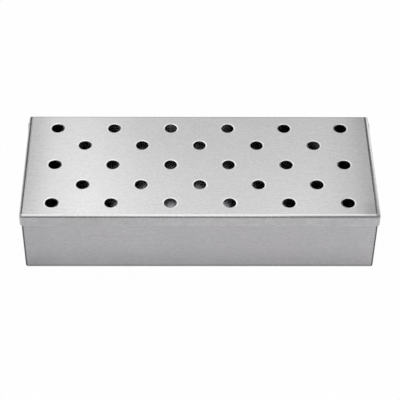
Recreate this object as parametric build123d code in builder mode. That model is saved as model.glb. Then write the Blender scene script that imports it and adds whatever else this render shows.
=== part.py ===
from build123d import *
import os
from math import sqrt

# Grill smoker box: an open sheet steel tray with a perforated lid that hinges at the rear.
# Millimetres. The origin lies on the resting plane under the middle of the lid.
# +X runs along the box, the front is the -Y side, and +Z is up.

# Closed box
lid_length = 231.0
lid_width = 94.0
box_height = 49.5
sheet = 0.6

# Lid: the skirt covers the front and both ends, and the rear edge is a plain sheared edge
skirt_height = 9.2
lid_bend_radius = 2.0
lid_corner_radius = 2.0
skirt_end_radius = 3.0

# Vents: five staggered rows. The margins run from the lid's edges to the outermost centres,
# and the short rows lie a little nearer to the outer rows than to the middle one
vent_diameter = 8.3
vent_end_margin = 20.0
vent_row_margin = 11.7
short_row_share = 0.527
long_row_count = 6
short_row_count = 5

# Tray: it stands inside the skirt, and its rim comes up into the hollow of the lid's bends
skirt_gap = 0.3
rear_overhang = 1.0
seat_clearance = 0.12
tray_bend_radius = 1.5
tray_corner_radius = 1.5

# Hinge: one rivet at each end, set in from the rear edge and down from the top of the lid
pivot_setback = 4.4
pivot_drop = 5.2
rivet_diameter = 2.5
rivet_head_diameter = 5.0
rivet_head_height = 0.55
rivet_head_edge = 0.25
rivet_tail_diameter = 3.6
rivet_tail_height = 0.8
rivet_tail_round = 0.3
turning_clearance = 0.08
set_clearance = 0.02
head_clearance = 0.1

# Overrun of the cuts
overrun = 1.0

# Places that follow from these sizes
vent_pitch = (lid_length - 2 * vent_end_margin) / (long_row_count - 1)
outer_row = lid_width / 2 - vent_row_margin
inner_row = short_row_share * outer_row
tray_length = lid_length - 2 * (sheet + skirt_gap)
tray_front = -lid_width / 2 + sheet + skirt_gap
tray_rear = lid_width / 2 - rear_overhang
tray_width = tray_rear - tray_front
bend_inside = lid_bend_radius - sheet
rim_inset = max(0, bend_inside - skirt_gap)
seat_gap = bend_inside - sqrt(max(0, (bend_inside - seat_clearance) ** 2 - rim_inset**2))
rim_height = box_height - sheet - seat_gap
pivot_y = lid_width / 2 - pivot_setback
pivot_z = box_height - pivot_drop
swing_radius = rim_height - pivot_z
rear_wall_top = pivot_z + sqrt(swing_radius**2 - (tray_rear - pivot_y) ** 2)
pivot_axis = Axis((0, pivot_y, pivot_z), (1, 0, 0))


# Rivet holes: one round hole through both ends of a shell, on the hinge axis
def rivet_holes(diameter):
    with Locations(Plane(origin=(0, pivot_y, pivot_z), z_dir=(1, 0, 0))):
        Cylinder(diameter / 2, lid_length + overrun, mode=Mode.SUBTRACT)


# Lid plate and skirt, pressed from one sheet
with BuildPart() as lid:
    with BuildSketch(Plane.XY.offset(box_height)) as lid_outline:
        Rectangle(lid_length, lid_width)
        fillet(lid_outline.vertices().group_by(Axis.Y)[0], radius=lid_corner_radius)
    extrude(amount=-skirt_height)

    # The plate's front and end edges roll over into the skirt
    top_edges = lid.faces().sort_by(Axis.Z)[-1].edges()
    rear_edge = top_edges.sort_by(Axis.Y)[-1]
    fillet([edge for edge in top_edges if edge != rear_edge], radius=lid_bend_radius)

    # The sheet is open below and at the rear
    underside = lid.faces().sort_by(Axis.Z)[0]
    rear_side = lid.faces().sort_by(Axis.Y)[-1]
    offset(amount=-sheet, openings=[underside, rear_side])

    # The lower rear corner of each end skirt is rounded off
    rear_ends = lid.edges().filter_by(Axis.X).group_by(Axis.Y)[-1].group_by(Axis.Z)[0]
    fillet(rear_ends, radius=skirt_end_radius)

    # Vents, from the front row to the rear row
    rows = [
        (-outer_row, long_row_count),
        (-inner_row, short_row_count),
        (0, long_row_count),
        (inner_row, short_row_count),
        (outer_row, long_row_count),
    ]
    with BuildSketch(Plane.XY.offset(box_height + overrun)):
        for row_y, count in rows:
            with Locations((0, row_y)):
                with GridLocations(vent_pitch, vent_pitch, count, 1):
                    Circle(vent_diameter / 2)
    extrude(amount=-sheet - 2 * overrun, mode=Mode.SUBTRACT)

    rivet_holes(rivet_diameter + 2 * turning_clearance)

# Tray: floor and four walls in one sheet, with rounded vertical corners and a rounded foot
with BuildPart() as tray:
    with BuildSketch():
        with Locations((0, (tray_front + tray_rear) / 2)):
            RectangleRounded(tray_length, tray_width, tray_corner_radius)
    extrude(amount=rim_height)
    fillet(tray.faces().sort_by(Axis.Z)[0].edges(), radius=tray_bend_radius)
    offset(amount=-sheet, openings=tray.faces().sort_by(Axis.Z)[-1])

    # The end walls are rounded about the hinge axis, so that the lid plate swings past them
    with BuildSketch(Plane.YZ):
        with BuildLine():
            Line((pivot_y, rim_height), (pivot_y, rim_height + overrun))
            Line((pivot_y, rim_height + overrun), (tray_rear + overrun, rim_height + overrun))
            Line((tray_rear + overrun, rim_height + overrun), (tray_rear + overrun, rear_wall_top))
            Line((tray_rear + overrun, rear_wall_top), (tray_rear, rear_wall_top))
            RadiusArc((tray_rear, rear_wall_top), (pivot_y, rim_height), -swing_radius)
        make_face()
    extrude(amount=tray_length, both=True, mode=Mode.SUBTRACT)

    # The rear wall stops lower, with a straight edge between the rounded ends
    with BuildSketch(Plane.XY.offset(rear_wall_top)):
        with Locations((0, tray_rear)):
            Rectangle(tray_length + overrun, 2 * sheet)
    extrude(amount=rim_height, mode=Mode.SUBTRACT)

    rivet_holes(rivet_diameter + 2 * set_clearance)

# Rivet: low head outside the skirt, shank through both sheets, tail pressed out inside the tray
tray_inside = tray_length / 2 - sheet
head_seat = lid_length / 2 + head_clearance
with BuildPart() as hinge_rivet_right:
    with BuildSketch(Plane.XZ.offset(-pivot_y)):
        with Locations((0, pivot_z)):
            with Locations((tray_inside - rivet_tail_height / 2, rivet_tail_diameter / 4)):
                Rectangle(rivet_tail_height, rivet_tail_diameter / 2)
            with Locations(((tray_inside + head_seat) / 2, rivet_diameter / 4)):
                Rectangle(head_seat - tray_inside, rivet_diameter / 2)
            with Locations((head_seat + rivet_head_height / 2, rivet_head_diameter / 4)):
                Rectangle(rivet_head_height, rivet_head_diameter / 2)
    revolve(axis=pivot_axis)
    ends = hinge_rivet_right.faces().filter_by(Axis.X).sort_by(Axis.X)
    fillet(ends[0].edges(), radius=rivet_tail_round)
    fillet(ends[-1].edges(), radius=rivet_head_edge)

with BuildPart() as hinge_rivet_left:
    mirror(hinge_rivet_right.part, about=Plane.YZ)

# One file for each piece
pieces = {
    "lid": lid,
    "tray": tray,
    "hinge_rivet_left": hinge_rivet_left,
    "hinge_rivet_right": hinge_rivet_right,
}
os.makedirs("parts", exist_ok=True)
for name, piece in pieces.items():
    piece.part.label = name
    export_step(piece.part, f"parts/{name}.step")
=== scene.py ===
import math

import bmesh
import bpy
from mathutils import Matrix, Vector

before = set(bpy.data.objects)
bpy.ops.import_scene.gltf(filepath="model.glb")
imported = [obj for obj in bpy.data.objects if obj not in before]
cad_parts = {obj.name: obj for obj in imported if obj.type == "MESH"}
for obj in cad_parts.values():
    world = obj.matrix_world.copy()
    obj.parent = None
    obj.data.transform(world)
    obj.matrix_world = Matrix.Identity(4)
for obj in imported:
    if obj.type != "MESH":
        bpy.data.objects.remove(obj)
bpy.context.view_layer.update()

# Tray: floor and four walls, pressed from one sheet of brushed stainless steel. The grain runs
# along the floor and the long walls, and up the ends. Each rounded corner is a little rougher
# and carries a painted dark line, standing in for its dark reflection. The inside keeps the
# smooth mill surface.


class Signal:
    """One output of a shader node. Sums on it add Math nodes."""

    def __init__(self, finish, socket):
        self.finish = finish
        self.socket = socket

    def math(self, operation, *values):
        return self.finish.node("ShaderNodeMath", {"operation": operation}, dict(enumerate(values)))

    def __add__(self, other):
        return self.math("ADD", self, other)

    def __sub__(self, other):
        return self.math("SUBTRACT", self, other)

    def __rsub__(self, other):
        return self.math("SUBTRACT", other, self)

    def __mul__(self, other):
        return self.math("MULTIPLY", self, other)

    def __pow__(self, other):
        return self.math("POWER", self, other)

    def __abs__(self):
        return self.math("ABSOLUTE", self)

    __radd__ = __add__
    __rmul__ = __mul__

    def least(self, other):
        return self.math("MINIMUM", self, other)

    def ping_pong(self, span):
        """Up from 0 to span and down again, over and over."""
        return self.math("PINGPONG", self, span)

    def fade(self, start, end):
        """0 before start, 1 after end and smooth between them, whichever of the two is larger."""
        before, after = (0.0, 1.0) if start < end else (1.0, 0.0)
        values = {
            "Value": self,
            "From Min": min(start, end),
            "From Max": max(start, end),
            "To Min": before,
            "To Max": after,
        }
        return self.finish.node("ShaderNodeMapRange", {"interpolation_type": "SMOOTHSTEP"}, values)


class Finish:
    """A material, or the world, with the one method that adds nodes to it."""

    def __init__(self, name, kind="materials"):
        self.made = getattr(bpy.data, kind).new(name)
        self.made.use_nodes = True
        self.tree = self.made.node_tree
        self.tree.nodes.clear()

    def node(self, kind, settings=None, values=None, output=0):
        node = self.tree.nodes.new(kind)
        for name, value in (settings or {}).items():
            setattr(node, name, value)
        for name, value in (values or {}).items():
            if isinstance(value, Signal):
                self.tree.links.new(value.socket, node.inputs[name])
            else:
                node.inputs[name].default_value = value
        return Signal(self, node.outputs[output]) if node.outputs else None

    def parts(self, vector):
        """The three numbers of a direction or a place."""
        return [self.node("ShaderNodeSeparateXYZ", {}, {0: vector}, i) for i in range(3)]

    def vector(self, operation, first, second, output=0):
        values = {0: first, 1: second}
        return self.node("ShaderNodeVectorMath", {"operation": operation}, values, output)

    def mix(self, amount, first, second):
        """A colour or a direction: first where amount is 0, second where it is 1."""
        values = {"Factor": amount, 6: first, 7: second}
        return self.node("ShaderNodeMix", {"data_type": "RGBA"}, values, 2)

    def noise(self, place, detail=2.0, roughness=0.5):
        values = {"Vector": place, "Scale": 1.0, "Detail": detail, "Roughness": roughness}
        return self.node("ShaderNodeTexNoise", {}, values)

    def surface(self, shader):
        self.node("ShaderNodeOutputMaterial", {}, {"Surface": shader})
        return self.made


class Steel(Finish):
    """Bare steel, with the place on the object as a vector and as x, y and z in metres."""

    def __init__(self, name):
        super().__init__(name)
        self.place = self.node("ShaderNodeTexCoord", output=3)
        self.x, self.y, self.z = self.parts(self.place)

    def clouds(self, scale, detail=2.0):
        """Soft patches, about as many to a metre as scale says."""
        return self.noise(self.vector("MULTIPLY", self.place, (scale, scale, scale)), detail)

    def finished(self, colour, shade, roughness, height):
        """The material: colour times shade, with a surface height in metres."""
        grey = self.node("ShaderNodeCombineXYZ", {}, {0: shade, 1: shade, 2: shade})
        bump = {"Strength": 1.0, "Distance": 1.0, "Height": height}
        values = {
            "Base Color": self.vector("MULTIPLY", grey, colour),
            "Metallic": 1.0,
            "Roughness": roughness,
            "Normal": self.node("ShaderNodeBump", {}, bump),
        }
        return self.surface(self.node("ShaderNodeBsdfPrincipled", {}, values))


class BrushedSteel(Steel):
    """Brushed sheet: lines along the box, which turn up or down where it folds at the ends."""

    def __init__(self, name):
        super().__init__(name)
        facing = self.node("ShaderNodeTexCoord", output=1)
        facing_x = self.parts(facing)[0]
        self.end_wall = abs(facing_x).fade(0.6, 0.8)
        # A face that looks towards the middle of the box is on the inside
        box_middle = (0, 0, 0.024)
        outward = self.vector("SUBTRACT", self.place, box_middle)
        self.inside = self.vector("DOT_PRODUCT", facing, outward, 1).fade(0.0001, -0.0001)

    def lines(self, across, along):
        """Brushed lines, as lines to a metre across the grain and along it."""
        flat = self.vector("MULTIPLY", self.place, (along, across, across))
        folded = self.vector("MULTIPLY", self.place, (along, across, along))
        return self.noise(self.mix(self.end_wall, flat, folded), roughness=0.6)


def varied(middle, *patterns):
    """A middle value that each pattern moves up and down, by up to half its amount."""
    for pattern, amount in patterns:
        middle = middle + (pattern - 0.5) * amount
    return middle


def marked(shade, *marks):
    """Each mark takes its share of the shade away, or adds to it where the share is negative."""
    for mark, share in marks:
        shade = shade * (1.0 - mark * share)
    return shade


def dress(piece, material):
    piece.data.materials.clear()
    piece.data.materials.append(material)


tray_end = 0.1146
tray_side = 0.0461
skirt_foot = 0.0403
cool_tray = (0.557, 0.557, 0.576, 1)
warm_tray = (0.57, 0.557, 0.57, 1)
micron = 0.000001

tray_steel = BrushedSteel("brushed_tray")
streaks = tray_steel.lines(across=1000, along=300)
hairs = tray_steel.lines(across=2200, along=50)
clouds = tray_steel.clouds(35)
warmth = tray_steel.clouds(24).fade(0.45, 0.65)

# Painted shade: a dark line down each corner, along the bend at the foot, in a line just under
# the skirt's edge and over the lower part. The walls are also darker towards the left end
from_left = tray_end + tray_steel.x
from_end = tray_end - abs(tray_steel.x)
from_side = tray_side - abs(tray_steel.y)
over_skirt_foot = tray_steel.z - skirt_foot
painted_corner_line = from_end.fade(0.0017, 0.0007) * from_side.fade(0.0015, 0.0008)
painted_foot_shade = tray_steel.z.fade(0.0034, 0.0020)
painted_skirt_shadow = over_skirt_foot.fade(-0.0021, -0.0009) * over_skirt_foot.fade(0.0009, -0.0001)
painted_low_shade = tray_steel.z.fade(0.02, 0.002)
darker_to_left = from_left.fade(0.0266, 0.0046)

shade = varied(1.0, (streaks, 0.36), (hairs, 0.14), (clouds, 0.1))
# These marks are painted shade, apart from the darkening towards the left end
shade = marked(shade, (painted_corner_line, 0.8), (painted_foot_shade, 0.22), (painted_skirt_shadow, 0.05))
shade = marked(shade, (painted_low_shade, 0.09), (darker_to_left, 0.09 + painted_low_shade * 0.06))
roughness = varied(0.26, (clouds, 0.06), (streaks, 0.06))
roughness = roughness + painted_corner_line * 0.15 - tray_steel.inside * 0.15
height = streaks * (4 * micron) + hairs * (2 * micron)
tint = tray_steel.mix(warmth, cool_tray, warm_tray)
dress(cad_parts["tray"], tray_steel.finished(tint, shade, roughness, height))

# Lid: a flat plate with 28 punched vents, and a skirt folded down over the front and both ends.
# It is the same brushed sheet as the tray. The punch rolls each vent's upper edge over a little.
# A painted highlight round each vent, which is also a little smoother, stands in for the light
# that edge catches.
lid_length = 0.231
lid_width = 0.094
box_height = 0.0495
vent_radius = 0.00415
half_pitch = 0.0191
outer_row = 0.0353
inner_row = 0.0186
vents_end = 5 * half_pitch + vent_radius
cool_skirt = (0.577, 0.577, 0.592, 1)
warm_skirt = (0.59, 0.577, 0.587, 1)
plate_grey = (0.58, 0.58, 0.58, 1)

lid_steel = BrushedSteel("brushed_lid")
streaks = lid_steel.lines(across=1200, along=600)
hairs = lid_steel.lines(across=2200, along=50)
clouds = lid_steel.clouds(35)
waves = lid_steel.clouds(14, detail=1.0)
blotches = lid_steel.clouds(180)
warmth = lid_steel.clouds(26).fade(0.42, 0.6)

# How far a place is from the lid's edges and below its top
from_left = lid_length / 2 + lid_steel.x
from_right = lid_length / 2 - lid_steel.x
from_front = lid_width / 2 + lid_steel.y
from_rear = lid_width / 2 - lid_steel.y
below_top = box_height - lid_steel.z

# How far it is from the edge of the nearest vent. A long row starts and ends with a vent, and a
# short row lies half a pitch over, so the repeat is stopped there before it adds one more
side = abs(lid_steel.y)
long_row = side.least(abs(side - outer_row))
short_row = abs(side - inner_row)
along_short_row = lid_steel.x.ping_pong(half_pitch)
along_long_row = half_pitch - along_short_row
past_vents = abs(lid_steel.x).fade(vents_end, vents_end + 0.001)
to_long = (along_long_row**2 + long_row**2) ** 0.5
to_short = ((along_short_row + past_vents) ** 2 + short_row**2) ** 0.5
to_vent = to_long.least(to_short) - vent_radius

# The vents' edges: rolled over by the punch, with painted shade right at the cut and a painted
# highlight round it
on_plate = below_top.fade(0.0006, 0.0005)
rolled = to_vent.fade(0.0008, 0.0) * on_plate
painted_vent_rim_shade = to_vent.fade(0.00015, 0.0) * on_plate
painted_vent_highlight = to_vent.fade(0.0012, 0.0005) * on_plate

# Painted shade over the plate's ends and its rear right corner, a thin painted dark line along
# its rear edge, and a painted shade patch at the front right corner
left_shade_share = 0.35 + from_front.fade(0.002, 0.047) * 0.65
painted_left_end_shade = from_left.fade(0.0195, 0.0035) * on_plate * left_shade_share
painted_right_end_shade = from_right.fade(0.0175, 0.0035) * on_plate
painted_rear_corner_shade = painted_right_end_shade * from_rear.fade(0.022, 0.005)
painted_rear_edge_line = from_rear.fade(0.0011, 0.0005)
to_corner = ((from_right - 0.0025) ** 2 + (from_front - 0.004) ** 2) ** 0.5
painted_corner_shade = varied(to_corner, (blotches, 0.012)).fade(0.0125, 0.003) * on_plate

# The folds and the skirt: the end folds are eased and the right one is worn, the front fold
# has painted shade along its shoulder, the skirt is a little darker to the left, and a painted
# highlight runs along its lower edge
left_folded = from_left.fade(0.0031, 0.0009)
left_eased = left_folded * from_front.fade(0.007, 0.047)
right_folded = from_right.fade(0.0031, 0.0009)
front_fold = from_front.fade(0.0015, 0.0009) * below_top.fade(0.0011, 0.0008)
painted_shoulder_shade = front_fold * below_top.fade(0.0005, 0.0008)
painted_right_shoulder_shade = front_fold * below_top.fade(0.0001, 0.0006) * from_right.fade(0.0855, 0.0155)
skirt = below_top.fade(0.0015, 0.0025)
painted_skirt_edge_highlight = (lid_steel.z - skirt_foot).fade(0.0012, 0.0004)
darker_to_left = from_left.fade(0.0955, 0.0405) * skirt
right_crest = from_right.fade(0.0027, 0.0019)
worn_fold = right_crest * from_front.fade(0.057, 0.012)
worn_corner = right_crest * from_front.fade(0.011, 0.004) * (1.0 - skirt)

shade = varied(1.0, (streaks, 0.33), (hairs, 0.14), (clouds, 0.08), (blotches, skirt * 0.28))
# Of these marks, all but the skirt's darkening to the left are painted light or shade
shade = marked(shade, (painted_vent_highlight, -0.34), (painted_skirt_edge_highlight, -0.06))
shade = marked(shade, (painted_corner_shade, 0.13), (darker_to_left, 0.08), (painted_rear_edge_line, 0.25))
shade = marked(shade, (painted_left_end_shade, 0.11), (painted_right_end_shade, 0.06), (painted_rear_corner_shade, 0.06))
shade = marked(shade, (painted_shoulder_shade, 0.2), (painted_right_shoulder_shade, 0.45), (painted_vent_rim_shade, 0.9))
roughness = varied(0.24, (clouds, 0.05), (streaks, 0.04))
roughness = roughness - painted_vent_highlight * 0.05 - lid_steel.inside * 0.05
roughness = roughness + worn_fold * 0.14 + worn_corner * 0.12 + left_folded * 0.03
height = streaks * (3 * micron) + hairs * (2 * micron) + waves * (120 * micron)
height = height - rolled * (90 * micron)
height = height - right_folded * (300 * micron) - left_eased * (40 * micron)
tint = lid_steel.mix(skirt, plate_grey, lid_steel.mix(warmth, cool_skirt, warm_skirt))
dress(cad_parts["lid"], lid_steel.finished(tint, shade, roughness, height))

# Hinge rivets: one solid stainless rivet at each end, through the skirt and the tray wall. The
# shank is set tight in the tray and turns freely in the lid. The heads have fine turning rings.
pivot_y = 0.0426
pivot_z = 0.0443
rings_to_metre = 9000
rivet_grey = (0.5, 0.5, 0.5)

rivet_steel = Steel("rivet_steel")
radius = ((rivet_steel.y - pivot_y) ** 2 + (rivet_steel.z - pivot_z) ** 2) ** 0.5
across_rings = rivet_steel.node("ShaderNodeCombineXYZ", {}, {0: radius * rings_to_metre})
rings = rivet_steel.noise(across_rings)
specks = rivet_steel.clouds(1500)
shade = varied(1.0, (rings, 0.16), (specks, 0.1))
roughness = varied(0.32, (specks, 0.1))
height = rings * (10 * micron) + specks * (4 * micron)
turned_steel = rivet_steel.finished(rivet_grey, shade, roughness, height)
for name in ("hinge_rivet_left", "hinge_rivet_right"):
    dress(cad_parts[name], turned_steel)

# Table: a plain sheet of white paper under and all round the box. It keeps the box's soft
# shadow, and shows almost white beyond it.
table_reach = 6.0
paper_white = (0.86, 0.86, 0.86, 1)
seen_share = 0.97
mirrored_share = 0.2


def stage_piece(name, bm, material):
    data = bpy.data.meshes.new(name)
    bm.to_mesh(data)
    bm.free()
    data.materials.append(material)
    piece = bpy.data.objects.new(name, data)
    bpy.context.scene.collection.objects.link(piece)
    return piece


paper = Finish("white_table")
camera_ray = paper.node("ShaderNodeLightPath", output="Is Camera Ray")
glossy_ray = paper.node("ShaderNodeLightPath", output="Is Glossy Ray")
clear_ray = paper.node("ShaderNodeLightPath", output="Is Transmission Ray")
lit = paper.node("ShaderNodeBsdfDiffuse", {}, {"Color": paper_white})
white = paper.node("ShaderNodeEmission", {}, {"Color": (1, 1, 1, 1), "Strength": 1.0})
shown = camera_ray * seen_share + (glossy_ray + clear_ray) * mirrored_share
surface = paper.surface(paper.node("ShaderNodeMixShader", {}, {0: shown, 1: lit, 2: white}))
bm = bmesh.new()
bmesh.ops.create_grid(bm, x_segments=1, y_segments=1, size=table_reach)
stage_piece("table", bm, surface)

# Cards: dark and bright sheets behind the box at both sides, and on the table around it, which
# only the steel's reflections see. The dark ones draw the thin dark lines along the lid's folds,
# and the bright ones carry the white room on into the outer side of the end folds.
lying = 0
standing = 90


def card(name, width, height, turn, place, strength):
    cloth = Finish(name)
    glow = cloth.node("ShaderNodeEmission", {}, {"Color": (1, 1, 1, 1), "Strength": strength})
    turned = Matrix.Rotation(math.radians(turn), 3, "X")
    bm = bmesh.new()
    bmesh.ops.create_grid(bm, x_segments=1, y_segments=1, size=0.5)
    bmesh.ops.scale(bm, verts=bm.verts, vec=(width, height, 1))
    bmesh.ops.rotate(bm, verts=bm.verts, cent=(0, 0, 0), matrix=turned)
    bmesh.ops.translate(bm, verts=bm.verts, vec=place)
    sheet = stage_piece(name, bm, cloth.surface(glow))
    sheet.visible_camera = False
    sheet.visible_diffuse = False
    sheet.visible_shadow = False
    sheet.visible_transmission = False


card("card_behind_left", 1.0, 0.75, standing, (-0.77, 0.75, 0.72), 0.1)
card("bright_card_on_table_left", 1.0, 0.7, lying, (-0.8, 0.5, 0.001), 1.2)
card("card_behind_right", 1.0, 0.56, standing, (0.725, 0.75, 0.78), 0.06)
card("bright_card_behind_right", 1.0, 0.44, standing, (0.9, 0.76, 0.23), 1.5)
card("bright_card_on_table_right", 1.0, 0.7, lying, (0.8, 0.5, 0.001), 1.3)
card("card_on_table", 2.4, 0.4, lying, (0, -0.325, 0.001), 0.1)

# Lamps: white cloth soft boxes. A wide one overhead and a small one behind the camera light the
# box. The others stand behind it, where the flat plate mirrors them. They are dimmer than the
# room, and give the plate its soft changes of shade from end to end.


def softbox(name, place, width, depth, radiance, aim=(0, 0, 0)):
    data = bpy.data.lights.new(name, "AREA")
    data.shape = "RECTANGLE"
    data.size = width
    data.size_y = depth
    data.energy = radiance * math.pi * width * depth
    lamp = bpy.data.objects.new(name, data)
    bpy.context.scene.collection.objects.link(lamp)
    turn = (Vector(aim) - Vector(place)).to_track_quat("-Z", "Y")
    lamp.matrix_world = Matrix.Translation(place) @ turn.to_matrix().to_4x4()
    lamp.visible_camera = False


softbox("overhead", (-0.05, -0.2, 1.0), 1.0, 1.2, 0.9, aim=(-0.05, -0.2, 0))
softbox("front", (-0.04, -0.95, 1.0), 0.36, 0.3, 1.1)
softbox("behind_near", (0.01, 0.48, 0.74), 0.48, 0.32, 0.43)
softbox("behind_far", (0.003, 0.8, 0.74), 0.466, 0.32, 0.25)
softbox("strip_left", (-0.14, 0.64, 0.74), 0.1, 0.64, 0.56)
softbox("strip_left_front", (-0.155, 0.52, 0.74), 0.07, 0.28, 0.3)
softbox("strip_right", (0.19, 0.6, 0.74), 0.12, 0.5, 0.36)

# Room: plain walls with even light all round the box. They light the box as grey walls do, and
# the camera sees them as white as it does the table.
lit_grey = (0.6, 0.6, 0.6, 1)
seen_white = (0.97, 0.97, 0.97, 1)

room = Finish("room", "worlds")
camera_ray = room.node("ShaderNodeLightPath", output="Is Camera Ray")
walls = {"Color": room.mix(camera_ray, lit_grey, seen_white)}
light = room.node("ShaderNodeBackground", {}, walls)
room.node("ShaderNodeOutputWorld", {}, {"Surface": light})
bpy.context.scene.world = room.made

# Camera: it has the photograph's own perspective. Its focal length is in picture widths, and it
# stands in front of the box, a little to the left, and looks down on it from 45 degrees.
film_width = 36.0
focal_length = 1462 / 400
standpoint = (-0.0119, -0.6939, 0.719)
pan = -1.03
tilt = 45.35
roll = 0.78

camera_data = bpy.data.cameras.new("camera")
camera_data.sensor_width = film_width
camera_data.lens = focal_length * film_width
camera = bpy.data.objects.new("camera", camera_data)
bpy.context.scene.collection.objects.link(camera)
camera.matrix_world = (
    Matrix.Translation(standpoint)
    @ Matrix.Rotation(math.radians(pan), 4, "Z")
    @ Matrix.Rotation(math.radians(90 - tilt), 4, "X")
    @ Matrix.Rotation(math.radians(roll), 4, "Z")
)
bpy.context.scene.camera = camera
bpy.context.scene.view_settings.view_transform = "Standard"
